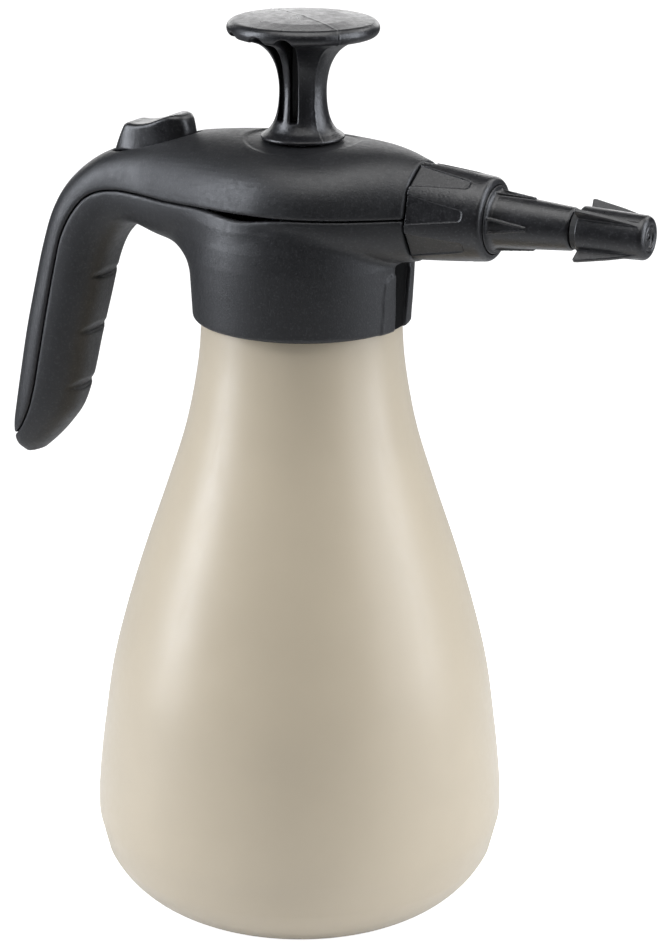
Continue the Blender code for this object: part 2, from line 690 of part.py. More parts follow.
def make_nozzle_nut(material):
    rim = arc((NUT_FRONT_RADIUS - 1.4, NUT_FRONT - 1.4), 1.4, 10, 90, 3)
    profile = [(8.9, NUT_REAR), (NUT_REAR_RADIUS, NUT_REAR), (14.6, 50.0), (13.6, 58.0)] + rim
    profile += [(10.6, NUT_FRONT), (10.6, 58.4), (11.7, 58.4), (11.7, 53.4), (8.9, 53.4)]
    nut = make("nozzle_nut", along_x(turned(profile, 24)), material, origin=(NUT_REAR, 0, NOZZLE_HEIGHT))
    for i in range(NUT_RECESSES):
        angle = 2 * math.pi * (i + 0.5) / NUT_RECESSES
        rear = [(41, -4.2, 14.7), (41, 4.2, 14.7), (41, 4.2, 18), (41, -4.2, 18)]
        front = [(61, -1.0, 12.9), (61, 1.0, 12.9), (61, 1.0, 16), (61, -1.0, 16)]
        recess = lofted([rear, front])
        spin = Matrix.Translation((0, 0, NOZZLE_HEIGHT)) @ Matrix.Rotation(angle, 4, "X")
        bmesh.ops.transform(recess, matrix=spin, verts=recess.verts)
        cut(nut, recess)
    return nut


def make_lance_gasket(material):
    profile = [(3.5, 53.3), (8.2, 53.3), (8.2, 54.5), (3.5, 54.5)]
    return make("lance_gasket", along_x(turned(profile, 16)), material, origin=(53.3, 0, NOZZLE_HEIGHT))


def make_lance_tube(material):
    shoulder = arc((10.2, LANCE_SHOULDER + 1.8), 1.8, -90, -180, 4)
    profile = [(1.8, LANCE_REAR), (11.2, LANCE_REAR), (11.2, 57.9), (10.2, 57.9)] + shoulder
    profile += [(6.5, 90.7), (6.1, TUBE_END), (4.6, TUBE_END), (4.6, LANCE_END), (2.5, LANCE_END),
                (2.5, 97.0), (1.8, 97.0)]
    lance = make("lance_tube", along_x(turned(profile, ROUND)), material, origin=(LANCE_REAR, 0, NOZZLE_HEIGHT))
    for i in range(4):
        rear = [(64.6, -2.5, 7), (64.6, 2.5, 7), (64.6, 2.3, 9.6), (64.6, -2.3, 9.6)]
        front = [(78.0, -0.5, 6.5), (78.0, 0.5, 6.5), (78.0, 0.4, 8.8), (78.0, -0.4, 8.8)]
        gusset = lofted([rear, front])
        spin = Matrix.Translation((0, 0, NOZZLE_HEIGHT)) @ Matrix.Rotation(i * math.pi / 2, 4, "X")
        bmesh.ops.transform(gusset, matrix=spin, verts=gusset.verts)
        join(lance, gusset)
    return lance


def make_swirl_core(material):
    profile = [(0, 97.6), (2.1, 97.6), (2.1, 104.0), (1.4, 105.2), (0, 105.2)]
    return make("swirl_core", along_x(turned(profile, 16)), material, origin=(97.6, 0, NOZZLE_HEIGHT))


def make_tip_seal(material):
    profile = [(4.9, 91.6), (6.0, 91.6), (6.0, 93.3), (4.9, 93.3)]
    return make("tip_seal", along_x(turned(profile, 16)), material, origin=(91.6, 0, NOZZLE_HEIGHT))


def make_nozzle_tip(material):
    rim = arc((TIP_FRONT_RADIUS - 2.0, TIP_FACE - 2.0), 2.0, 0, 90, 4)
    profile = [(5.0, TIP_REAR), (TIP_REAR_RADIUS, TIP_REAR), (TIP_REAR_RADIUS, TIP_REAR + 0.6)] + rim
    profile += [(2.6, TIP_FACE), (2.2, TIP_FACE - 0.7), (0.7, TIP_FACE - 0.7), (0.7, 110.0),
                (2.9, 110.0), (2.9, 105.0), (5.0, 105.0)]
    tip = make("nozzle_tip", along_x(turned(profile, ROUND)), material, origin=(TIP_REAR, 0, NOZZLE_HEIGHT))
    for i in range(4):
        side = [(94.2, 6.4), (93.2, FIN_RADIUS - 0.4), (93.8, FIN_RADIUS), (95.0, FIN_RADIUS - 0.2),
                (112.4, 6.6), (112.0, 6.0)]
        fin = slab(side, -0.8, 0.8)
        spin = Matrix.Translation((0, 0, NOZZLE_HEIGHT)) @ Matrix.Rotation(math.pi / 4 + i * math.pi / 2, 4, "X")
        bmesh.ops.transform(fin, matrix=spin, verts=fin.verts)
        join(tip, fin)
    return tip


# ---------------------------------------------------------------- relief valve


def make_relief_body(material):
    body = make("relief_body", box((-4.0, 17.6, 221.7), (4.0, 30.1, 229.7)), material,
                origin=(0, 24, RELIEF_HEIGHT))
    cut(body, rod_between((0, 19.4, RELIEF_HEIGHT), (0, 34.0, RELIEF_HEIGHT), 2.8, 14))
    cut(body, upright_hole(0, SCREW_CIRCLE, 1.2, 220.0, RELIEF_HEIGHT, 12))
    return body


def make_relief_pin(material):
    profile = [(0, 20.0), (2.4, 20.0), (2.4, 22.0), (1.2, 22.6), (1.2, 36.0), (4.4, 36.2), (4.8, 37.2),
               (4.8, 39.2), (3.8, 40.2), (0, 40.4)]
    bm = turned(profile, 14)
    lay = Matrix(((1, 0, 0, 0), (0, 0, 1, 0), (0, -1, 0, RELIEF_HEIGHT), (0, 0, 0, 1)))
    bmesh.ops.transform(bm, matrix=lay, verts=bm.verts)
    return make("relief_pin", bm, material, origin=(0, 20.0, RELIEF_HEIGHT))


def make_relief_cap(material):
    """The ring that closes the relief body and that the spring pushes against."""
    profile = [(1.6, 30.4), (3.4, 30.4), (3.4, 31.2), (2.6, 31.2), (2.6, 35.4), (1.6, 35.4)]
    bm = turned(profile, 14)
    lay = Matrix(((1, 0, 0, 0), (0, 0, 1, 0), (0, -1, 0, RELIEF_HEIGHT), (0, 0, 0, 1)))
    bmesh.ops.transform(bm, matrix=lay, verts=bm.verts)
    return make("relief_cap", bm, material, origin=(0, 30.4, RELIEF_HEIGHT))


def make_relief_spring(material):
    """The spring at its pulled length, so that the pin's flange comes up to it at full travel."""
    start = (0, 25.2, RELIEF_HEIGHT)
    return make("relief_spring", coil(start, 2.05, 0.22, 4.5, 5.0, (0, 1, 0)), material, origin=start)


# ---------------------------------------------------------------- assembly


def main():
    clear_scene()
    beige = plastic("tank_beige", (0.56, 0.51, 0.42), 0.42)
    charcoal = plastic("head_charcoal", (0.045, 0.046, 0.05), 0.55)
    black = plastic("moulded_black", (0.022, 0.022, 0.024), 0.35)
    natural = plastic("natural_plastic", (0.62, 0.63, 0.62), 0.45)
    rubber = plastic("seal_rubber", (0.02, 0.02, 0.02), 0.7)
    steel = plastic("spring_steel", (0.6, 0.6, 0.6), 0.3, 1.0)
    hose = plastic("soft_hose", (0.55, 0.57, 0.58), 0.3)

    make_tank(beige)
    make_neck_seal(rubber)
    make_lower_housing(charcoal)
    make_upper_cover(charcoal)
    make_head_screws(steel)

    make_pump_cylinder(natural)
    make_cylinder_cap(black)
    make_piston(natural)
    make_piston_seal(rubber)
    make_pump_rod(natural)
    make_pump_knob(black)
    make_foot_valve(rubber)

    make_thumb_trigger(black)
    make_trigger_pin(steel)
    make_valve_body(natural)
    make_valve_stem(black)
    make_valve_seal(rubber)
    make_valve_spring(steel)

    make_dip_tube(natural)
    make_intake_filter(natural)
    make_feed_hose(hose)
    make_outlet_fitting(black)

    make_nozzle_nut(black)
    make_lance_gasket(rubber)
    make_lance_tube(black)
    make_swirl_core(natural)
    make_tip_seal(rubber)
    make_nozzle_tip(black)

    make_relief_body(natural)
    make_relief_pin(black)
    make_relief_cap(natural)
    make_relief_spring(steel)


main()
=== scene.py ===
import json
import math

import bmesh
import bpy
import numpy as np
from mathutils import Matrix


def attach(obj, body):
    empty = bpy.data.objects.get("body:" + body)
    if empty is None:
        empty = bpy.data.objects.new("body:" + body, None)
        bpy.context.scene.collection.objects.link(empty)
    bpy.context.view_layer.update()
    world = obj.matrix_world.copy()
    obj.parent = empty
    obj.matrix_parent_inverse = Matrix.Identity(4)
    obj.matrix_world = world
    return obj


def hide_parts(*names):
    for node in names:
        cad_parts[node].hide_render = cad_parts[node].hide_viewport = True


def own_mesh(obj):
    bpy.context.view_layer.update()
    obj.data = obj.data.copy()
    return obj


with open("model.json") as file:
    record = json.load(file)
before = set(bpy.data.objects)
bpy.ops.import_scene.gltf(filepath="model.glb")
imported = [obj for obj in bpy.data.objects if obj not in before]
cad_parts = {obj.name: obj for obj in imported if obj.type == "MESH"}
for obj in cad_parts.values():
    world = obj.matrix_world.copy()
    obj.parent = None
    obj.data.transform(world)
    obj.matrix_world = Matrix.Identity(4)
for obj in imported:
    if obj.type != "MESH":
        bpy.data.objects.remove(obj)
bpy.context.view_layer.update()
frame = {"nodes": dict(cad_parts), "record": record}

import openvdb
from mathutils import Matrix, Vector

MM = 0.001
COARSE = 1.0

# Lengths are in millimetres and angles in degrees, unless a name says otherwise
TANK_WALL = 2.0
WALL = 2.2                      # of the head's two shells
HEAD_FOOT = 195.0               # height of the skirt's flat foot
HEAD_FRONT = 41.5               # the face behind the nozzle's nut
DECK = 221.4                    # height of the floor inside the head
SKIRT_BORE = [(0.0, 190.0), (31.9, 190.0), (31.9, 200.0), (29.3, 202.0), (29.3, 219.0), (0.0, 219.0)]
SEAM_GAP = 0.15                 # from the seam's line to each shell, and from the wall to the lip behind it
TONGUE_DEPTH = 1.4              # how far the seam's tongue reaches in from the wall's inside
AXIS_HEIGHT = 233.4             # of the nozzle's line
RELIEF_HEIGHT = 225.8           # of the relief valve's line
DIP_X = -20.3                   # the dip tube's place
PIVOT = (-39.5, 245.0)          # the trigger's pin, in the XZ plane

VIEW_AZIMUTH = 26.8             # of the photograph, from the -Y side towards +X
VIEW_PITCH = 18.0
VIEW_ROLL = 0.0076              # in radians
VIEW_AHEAD = (-0.4509, 0.8926, 0.0)     # the view's direction, before the pitch
VIEW_FROM = (432.3, -834.8, 449.1)
VIEW_LENS = 118.4381            # focal length for a picture 36 mm high


# ---------------------------------------------------------------- shapes as distance fields


class Space:
    """A block of cells. x, y and z broadcast against each other, so a shape is one expression."""

    def __init__(self, low, high, pitch):
        self.pitch = pitch * COARSE
        self.first = np.floor(np.array(low) / self.pitch).astype(int)
        last = np.ceil(np.array(high) / self.pitch).astype(int)
        self.counts = last - self.first + 1
        lines = [((self.first[i] + np.arange(self.counts[i])) * self.pitch).astype(np.float32) for i in range(3)]
        self.x = lines[0][:, None, None]
        self.y = lines[1][None, :, None]
        self.z = lines[2][None, None, :]


def ramp(value, start, end):
    """0 before start, 1 after end and smooth between."""
    t = np.clip((value - start) / (end - start), 0, 1)
    return t * t * (3 - 2 * t)


def soft_min(a, b, k):
    """The lesser of two distances, blended where they differ by less than k."""
    h = np.maximum(k - np.abs(a - b), 0) / k
    return np.minimum(a, b) - h * h * k / 4


def soft_max(a, b, k):
    """The greater of two distances, blended in the same way."""
    return -soft_min(-a, -b, k)


def cut_away(field, tool, k):
    """A shape without a tool's shape, with an edge rounded by k."""
    return soft_max(field, -tool, k)


def outline_field(outline, a, b):
    """Signed distance from (a, b) to a closed outline, negative inside."""
    nearest = np.float32(1e9)
    inside = False
    for (ax, ay), (bx, by) in zip(outline, outline[1:] + outline[:1]):
        ex, ey = bx - ax, by - ay
        length = ex * ex + ey * ey
        if length < 1e-9:
            continue
        px, py = a - ax, b - ay
        t = np.clip((px * ex + py * ey) / length, 0, 1)
        nearest = np.minimum(nearest, (px - t * ex) ** 2 + (py - t * ey) ** 2)
        if abs(ey) > 1e-9:
            inside = inside ^ (((ay > b) != (by > b)) & (px < ex * py / ey))
    return np.where(inside, -1, 1).astype(np.float32) * np.sqrt(nearest)


def turned_field(space, outline, axis="z", centre=(0.0, 0.0)):
    """Distance to an outline of (radius, height) points turned about an upright or lengthwise axis."""
    if axis == "z":
        radius = np.sqrt((space.x - centre[0]) ** 2 + (space.y - centre[1]) ** 2)[:, :, 0]
        along = space.z.ravel()
    elif axis == "x":
        radius = np.sqrt((space.y - centre[0]) ** 2 + (space.z - centre[1]) ** 2)[0]
        along = space.x.ravel()
    else:
        radius = np.sqrt((space.x - centre[0]) ** 2 + (space.z - centre[1]) ** 2)[:, 0]
        along = space.y.ravel()
    steps = np.arange(0, radius.max() + space.pitch, space.pitch / 2).astype(np.float32)
    full = outline + [(-r, h) for r, h in reversed(outline)]
    table = outline_field(full, steps[:, None], along[None, :])
    out = np.empty(radius.shape + along.shape, np.float32)
    for i in range(len(along)):
        out[:, :, i] = np.interp(radius, steps, table[:, i])
    if axis == "x":
        return np.moveaxis(out, 2, 0)
    if axis == "y":
        return np.moveaxis(out, 2, 1)
    return out


def box_field(space, low, high, radius):
    """Distance to a block with rounded edges."""
    parts = []
    for line, a, b in zip((space.x, space.y, space.z), low, high):
        parts.append(np.abs(line - (a + b) / 2) - ((b - a) / 2 - radius))
    outside = np.sqrt(sum(np.maximum(p, 0) ** 2 for p in parts))
    inside = np.minimum(np.maximum(np.maximum(parts[0], parts[1]), parts[2]), 0)
    return outside + inside - radius


def smooth_line(control, steps):
    """A Catmull-Rom line through the control points, as rows of numbers."""
    points = [np.array(p, float) for p in control]
    ends = [2 * points[0] - points[1]] + points + [2 * points[-1] - points[-2]]
    path = []
    for i in range(1, len(ends) - 2):
        a, b, c, d = ends[i - 1:i + 3]
        for k in range(steps):
            t = k / steps
            path.append(0.5 * (2 * b + (c - a) * t + (2 * a - 5 * b + 4 * c - d) * t * t
                               + (3 * b - a - 3 * c + d) * t ** 3))
    path.append(points[-1])
    return path


def pairs(rows):
    """Plain pairs of numbers, as the outlines use."""
    return [(float(a), float(b)) for a, b in rows]


def mesh_object(name, points, faces, material, body, nodes):
    """A smooth piece that rides on a body, from points in millimetres."""
    mesh = bpy.data.meshes.new(name)
    mesh.from_pydata(points, [], faces)
    return settle(name, mesh, material, body, nodes)


def settle(name, mesh, material, body, nodes, sharp=None):
    """A mesh in millimetres becomes a piece on a body, standing for the given nodes."""
    mesh.transform(Matrix.Scale(MM, 4))
    mesh.materials.append(material)
    mesh.shade_smooth()
    if sharp is not None:
        mesh.set_sharp_from_angle(angle=math.radians(sharp))
    obj = bpy.data.objects.new(name, mesh)
    bpy.context.scene.collection.objects.link(obj)
    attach(obj, body)
    if nodes:
        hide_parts(*nodes)
    return obj


def skin_field(name, space, field, material, body, nodes, most=150_000):
    """The surface of a distance field as a piece, thinned to at most that many triangles."""
    reach = 3 * space.pitch
    grid = openvdb.FloatGrid(reach)
    grid.copyFromArray(np.clip(field, -reach, reach).astype(np.float32))
    points, triangles, quads = grid.convertToPolygons(isovalue=0.0, adaptivity=0.0)
    points = (points + space.first) * space.pitch
    mesh = bpy.data.meshes.new(name)
    mesh.vertices.add(len(points))
    mesh.vertices.foreach_set("co", points.astype(np.float32).ravel())
    corners = np.concatenate([quads.ravel(), triangles.ravel()]).astype(np.int32)
    mesh.loops.add(len(corners))
    mesh.loops.foreach_set("vertex_index", corners)
    mesh.polygons.add(len(quads) + len(triangles))
    starts = np.concatenate([np.arange(len(quads)) * 4, len(quads) * 4 + np.arange(len(triangles)) * 3])
    mesh.polygons.foreach_set("loop_start", starts.astype(np.int32))
    mesh.update(calc_edges=True)
    mesh.validate()
    obj = settle(name, mesh, material, body, nodes)
    if 2 * len(quads) > most:
        thin = obj.modifiers.new("thin", "DECIMATE")
        thin.ratio = most / (2 * len(quads))


def lathe(name, outline, material, body, nodes, steps):
    """A piece turned about the upright axis from a closed outline of (radius, height) points."""
    bm = bmesh.new()
    rings = []
    for radius, height in outline:
        if radius < 1e-6:
            rings.append([bm.verts.new((0, 0, height))])
        else:
            rings.append([bm.verts.new((radius * math.cos(2 * math.pi * i / steps),
                                        radius * math.sin(2 * math.pi * i / steps), height))
                          for i in range(steps)])
    for first, second in zip(rings, rings[1:] + rings[:1]):
        if len(first) == 1 and len(second) == 1:
            continue
        for i in range(steps):
            j = (i + 1) % steps
            if len(first) == 1:
                bm.faces.new([first[0], second[j], second[i]])
            elif len(second) == 1:
                bm.faces.new([first[i], first[j], second[0]])
            else:
                bm.faces.new([first[i], first[j], second[j], second[i]])
    settle_bmesh(name, bm, material, body, nodes)


def settle_bmesh(name, bm, material, body, nodes):
    """A piece from a bmesh in millimetres, with sharp edges where its faces meet at over 30 degrees."""
    bmesh.ops.recalc_face_normals(bm, faces=bm.faces)
    mesh = bpy.data.meshes.new(name)
    bm.to_mesh(mesh)
    bm.free()
    settle(name, mesh, material, body, nodes, sharp=30)


def arc(centre, radius, start_deg, end_deg, steps):
    """Points along part of a circle."""
    points = []
    for i in range(steps + 1):
        angle = math.radians(start_deg + (end_deg - start_deg) * i / steps)
        points.append((centre[0] + radius * math.cos(angle), centre[1] + radius * math.sin(angle)))
    return points


# ---------------------------------------------------------------- materials


def plastic(name, colour, roughness, grain, height, mottle=0.05, painted_glints=0.0, specular=0.5, metallic=0.0,
            uneven=0.05, subsurface=0.0, sheen=0.0):
    """A moulded surface: an even colour with faint mottling, and a fine grain in its bump and gloss.

    grain is the size of the texture in millimetres and height its depth. painted_glints strews pale dots in the
    colour, painted glints that stand for the sparkle of the grained surface, and uneven is how far the roughness
    wanders."""
    material = bpy.data.materials.new(name)
    material.use_nodes = True
    tree = material.node_tree
    shader = tree.nodes["Principled BSDF"]
    shader.inputs["Metallic"].default_value = metallic
    shader.inputs["Specular IOR Level"].default_value = specular
    if sheen:
        shader.inputs["Sheen Weight"].default_value = sheen
        shader.inputs["Sheen Roughness"].default_value = 0.5
        shader.inputs["Sheen Tint"].default_value = (0.9, 0.95, 1.0, 1)
    if subsurface:
        shader.inputs["Subsurface Weight"].default_value = subsurface
        shader.inputs["Subsurface Radius"].default_value = (1.0, 0.9, 0.7)
        shader.inputs["Subsurface Scale"].default_value = 0.001
    place = tree.nodes.new("ShaderNodeTexCoord")

    def noise(size, detail=2.0, rough=0.5):
        node = tree.nodes.new("ShaderNodeTexNoise")
        node.inputs["Scale"].default_value = 1000.0 / size
        node.inputs["Detail"].default_value = detail
        node.inputs["Roughness"].default_value = rough
        tree.links.new(place.outputs["Object"], node.inputs["Vector"])
        return node.outputs["Fac"]

    def spread(source, low, high, from_low=0.3, from_high=0.7):
        node = tree.nodes.new("ShaderNodeMapRange")
        node.inputs["From Min"].default_value = from_low
        node.inputs["From Max"].default_value = from_high
        node.inputs["To Min"].default_value = low
        node.inputs["To Max"].default_value = high
        tree.links.new(source, node.inputs["Value"])
        return node.outputs["Result"]

    blend = tree.nodes.new("ShaderNodeMix")
    blend.data_type = "RGBA"
    blend.inputs["A"].default_value = (*[c * (1 - mottle) for c in colour], 1)
    blend.inputs["B"].default_value = (*[min(1, c * (1 + mottle)) for c in colour], 1)
    tree.links.new(spread(noise(22.0, 3.0), 0, 1), blend.inputs["Factor"])
    base = blend.outputs["Result"]
    # Pale dots in the colour: painted glints for the sparkle of the grained surface
    if painted_glints:
        dots = tree.nodes.new("ShaderNodeMix")
        dots.data_type = "RGBA"
        dots.inputs["B"].default_value = (*[min(1, c * 2.2 + 0.02) for c in colour], 1)
        tree.links.new(base, dots.inputs["A"])
        tree.links.new(spread(noise(0.7, 1.0), 0, painted_glints, 0.56, 0.70), dots.inputs["Factor"])
        base = dots.outputs["Result"]
    tree.links.new(base, shader.inputs["Base Color"])
    gloss = tree.nodes.new("ShaderNodeMath")
    gloss.operation = "ADD"
    tree.links.new(spread(noise(grain * 2.5, 2.0), -uneven, uneven), gloss.inputs[0])
    tree.links.new(spread(noise(14.0, 2.0), roughness - uneven / 2, roughness + uneven / 2), gloss.inputs[1])
    tree.links.new(gloss.outputs[0], shader.inputs["Roughness"])
    bump = tree.nodes.new("ShaderNodeBump")
    bump.inputs["Strength"].default_value = 1.0
    bump.inputs["Distance"].default_value = height * MM
    tree.links.new(noise(grain, 3.0, 0.6), bump.inputs["Height"])
    tree.links.new(bump.outputs["Normal"], shader.inputs["Normal"])
    return material


BEIGE = plastic("satin_beige", (0.575, 0.492, 0.362), 0.38, 0.9, 0.010, mottle=0.02, specular=0.55, sheen=0.24)
# The charcoal and the black both carry pale dots that are painted glints
CHARCOAL = plastic("matte_charcoal", (0.0100, 0.0103, 0.0115), 0.47, 0.6, 0.055,
                   mottle=0.08, painted_glints=0.4, specular=0.6)
BLACK = plastic("moulded_black", (0.0105, 0.0105, 0.0118), 0.33, 0.8, 0.075,
                mottle=0.10, painted_glints=0.6, specular=0.65)
NATURAL = plastic("natural_plastic", (0.60, 0.61, 0.60), 0.42, 0.8, 0.008, subsurface=0.3)
# Near black and hardly reflecting: painted shade for the sheet at the bottom of the release slot
PAINTED_SHADE = plastic("painted_recess_shade", (0.004, 0.004, 0.004), 0.75, 0.5, 0.010, specular=0.08)
RUBBER = plastic("seal_rubber", (0.016, 0.016, 0.016), 0.62, 0.5, 0.010)
STEEL = plastic("spring_steel", (0.62, 0.62, 0.63), 0.26, 0.3, 0.004, metallic=1.0)
HOSE = plastic("soft_hose", (0.50, 0.53, 0.54), 0.28, 1.2, 0.006, subsurface=0.4)

BY_SLOT = {"tank_beige": BEIGE, "head_charcoal": CHARCOAL, "moulded_black": BLACK,
           "natural_plastic": NATURAL, "seal_rubber": RUBBER, "spring_steel": STEEL, "soft_hose": HOSE}


def dress_frame():
    """Every node of the frame gets its slot's finish."""
    slots = {entry["node"]: entry["material_slot"] for entry in frame["record"]["subparts"]}
    for name, obj in frame["nodes"].items():
        obj.data.materials.clear()
        obj.data.materials.append(BY_SLOT[slots[name]])


# ---------------------------------------------------------------- bottle


def make_tank():
    fillet = arc((33.4, 32.6), 32.6, -90, -20, 26)
    shoulder = [(65.25, 28.0), (65.65, 34.0), (65.35, 41.0), (64.5, 50.0), (63.3, 60.0), (60.4, 80.0),
                (55.5, 100.0), (49.4, 120.0), (42.6, 140.0), (36.4, 160.0), (32.6, 180.0), (31.3, 196.0)]
    line = pairs(smooth_line([fillet[-3]] + shoulder, 8)[9:])
    outer = [(0.0, 1.1), (26.0, 1.1), (29.0, 0.3), (30.5, 0.0)] + fillet[:-2] + line
    outer += [(31.1, 197.4), (30.3, 198.4), (28.6, 199.0), (27.4, 199.6), (27.4, 213.2), (26.9, 214.0)]
    inner = [(max(r - TANK_WALL, 0.0), h + TANK_WALL) for r, h in fillet[2:-2]]
    inner += [(r - TANK_WALL, h) for r, h in line[:-4]]
    inner = [(0.0, 3.1), (26.0, 2.6)] + inner + [(25.2, 198.0), (25.2, 214.0)]
    lathe("tank_body", outer + inner[::-1], BEIGE, "vessel", ["tank"], 224)


def make_tank_thread():
    """The neck's thread: a ridge that climbs one and a half turns and fades out at both ends."""
    bm = bmesh.new()
    rings = []
    turns, per_turn, pitch, foot = 1.5, 120, 4.0, 205.0
    root, neck, depth, fade_steps = 27.0, 27.3, 1.6, 10
    steps = int(turns * per_turn)
    for i in range(steps + 1):
        angle = 2 * math.pi * i / per_turn
        fade = min(1.0, i / fade_steps, (steps - i) / fade_steps)
        crest = neck + depth * fade
        middle = foot + pitch * i / per_turn
        ring = []
        for radius, shift in ((root, -0.65), (crest, -0.3), (crest, 0.3), (root, 0.65)):
            ring.append(bm.verts.new((radius * math.cos(angle), radius * math.sin(angle), middle + shift)))
        rings.append(ring)
    for first, second in zip(rings, rings[1:]):
        for k in range(4):
            bm.faces.new([first[k], first[(k + 1) % 4], second[(k + 1) % 4], second[k]])
    bm.faces.new(rings[0])
    bm.faces.new(rings[-1])
    settle_bmesh("tank_thread", bm, BEIGE, "vessel", [])


# ---------------------------------------------------------------- head


# From the nozzle to the handle's foot: the top or back point, the widest point and the bottom or
# finger-side point in the XZ plane, then the half width and the squareness
SECTIONS = [
    (49.0, 247.4, 49.0, 233.4, 49.0, 219.4, 13.2, 2.0),
    (41.5, 248.8, 41.5, 233.4, 41.5, 218.0, 15.4, 2.0),
    (33.0, 250.7, 33.0, 233.4, 33.5, 217.0, 21.4, 2.15),
    (24.0, 251.7, 24.0, 233.4, 25.0, 216.8, 27.2, 2.25),
    (13.0, 252.0, 13.0, 233.4, 13.0, 216.8, 31.6, 2.35),
    (2.0, 252.3, 2.0, 233.4, 2.0, 216.8, 33.0, 2.4),
    (-8.0, 252.3, -8.0, 233.2, -8.0, 216.8, 31.4, 2.4),
    (-18.0, 251.9, -18.0, 232.8, -18.0, 216.8, 28.6, 2.35),
    (-28.0, 251.2, -28.0, 232.2, -28.0, 216.0, 24.8, 2.3),
    (-38.0, 249.9, -38.0, 231.6, -37.0, 215.0, 20.8, 2.3),
    (-48.0, 247.8, -48.0, 231.3, -46.5, 216.4, 16.8, 2.4),
    (-60.0, 244.4, -58.0, 231.2, -55.0, 218.8, 14.0, 2.5),
    (-71.5, 239.4, -66.5, 229.6, -59.6, 217.8, 12.9, 2.5),
    (-81.0, 231.4, -73.4, 224.4, -63.0, 214.8, 12.5, 2.5),
    (-87.2, 221.6, -78.2, 217.4, -65.8, 210.6, 12.3, 2.5),
    (-91.4, 209.4, -81.4, 207.0, -68.6, 203.6, 12.1, 2.5),
    (-94.8, 196.0, -84.6, 194.2, -71.6, 191.8, 12.0, 2.5),
    (-98.2, 181.0, -88.4, 179.4, -75.4, 177.4, 11.9, 2.5),
    (-101.0, 167.0, -91.6, 166.0, -78.2, 164.8, 11.6, 2.4),
    (-103.4, 155.0, -94.4, 154.8, -81.6, 154.4, 11.0, 2.3),
    (-105.0, 146.4, -97.2, 146.9, -86.2, 147.6, 9.8, 2.2),
    (-104.7, 140.2, -99.0, 140.9, -91.2, 142.0, 7.6, 2.1),
    (-102.0, 136.9, -99.2, 137.1, -95.8, 137.8, 4.0, 2.0),
]

# Where the cover meets the housing, in the XZ plane
SEAM = [(52.0, 233.4), (20.0, 233.4), (0.0, 233.4), (-18.0, 232.8), (-38.0, 231.6), (-52.0, 231.5), (-60.0, 231.2),
        (-66.5, 229.9), (-72.0, 227.0), (-76.6, 221.8), (-80.0, 215.8), (-82.2, 209.5), (-86.4, 191.5),
        (-90.3, 172.6), (-93.6, 158.6), (-97.0, 150.4), (-101.6, 144.4), (-112.0, 138.0)]


def loft_field(space):
    """Distance to the smooth body through SECTIONS."""
    rings = []
    count = 72
    for row in smooth_line(SECTIONS, 6):
        top, middle, bottom = [np.array([row[i], 0.0, row[i + 1]]) for i in (0, 2, 4)]
        half_width, power = row[6], 2 / row[7]
        ring = []
        for i in range(count):
            angle = 2 * math.pi * (i + 0.5) / count
            rise = abs(math.sin(angle)) ** power
            tip = top if math.sin(angle) >= 0 else bottom
            point = middle + (tip - middle) * rise
            point[1] = half_width * math.copysign(abs(math.cos(angle)) ** power, math.cos(angle))
            ring.append(point)
        rings.append(ring)
    points = np.array(rings).reshape(-1, 3)
    quads = []
    for r in range(len(rings) - 1):
        for i in range(count):
            j = (i + 1) % count
            quads.append((r * count + i, r * count + j, (r + 1) * count + j, (r + 1) * count + i))
    triangles = []
    for r in (0, len(rings) - 1):
        middle = len(points)
        points = np.vstack([points, np.mean(rings[r], axis=0)])
        for i in range(count):
            pair = (r * count + i, r * count + (i + 1) % count)
            triangles.append((middle, *(pair if r else pair[::-1])))
    transform = openvdb.createLinearTransform(voxelSize=space.pitch)
    grid = openvdb.FloatGrid.createLevelSetFromPolygons(
        points.astype(np.float32), triangles=np.array(triangles, np.uint32), quads=np.array(quads, np.uint32),
        transform=transform, halfWidth=14.0 / space.pitch)
    field = np.empty(space.counts, np.float32)
    grid.copyToArray(field, ijk=tuple(int(i) for i in space.first))
    return field


def seam_field(space):
    """Distance from the seam: negative on the cover's side, positive on the housing's, the same along Y."""
    outline = pairs(smooth_line(SEAM, 4)) + [(-140.0, 120.0), (-140.0, 300.0), (52.0, 300.0)]
    return outline_field(outline, space.x[:, :, 0], space.z[0])[:, None, :]


def finger_grooves(space, body):
    """Three shallow scoops on the finger side of the handle, each ending below in a ledge."""
    # The finger side's line in the XZ plane, and the distance behind it
    up = (0.254, 0.967)
    start = (-68.6, 203.6)
    behind = (start[0] - space.x) * up[1] + (space.z - start[1]) * up[0]
    for x, z in ((-69.6, 200.4), (-74.4, 181.2), (-79.6, 161.6)):
        above = (space.x - x) * up[0] + (space.z - z) * up[1]
        deep = 1.6 - 0.5 * above - 0.6 * np.maximum(behind, 0)
        ledge = ramp(above, -0.9, 0.1)
        body = body + np.maximum(deep, 0) * ledge
    return body


def seam_tongue(space, body, seam, notch):
    """A lip behind the wall that closes the seam, and the foot that joins it to the housing's wall.

    It stops short of the head's front and of the notch."""
    reach = -(body + WALL + TONGUE_DEPTH)
    lip = np.maximum(np.maximum(body + WALL + SEAM_GAP, reach), np.abs(seam) - 2.2)
    foot = np.maximum(np.maximum(body + WALL - 0.4, reach), np.abs(seam - 1.5) - 0.8)
    stop = np.maximum(space.x - 38.0, 4 * (notch - 0.3))
    return np.maximum(np.minimum(lip, foot), stop)


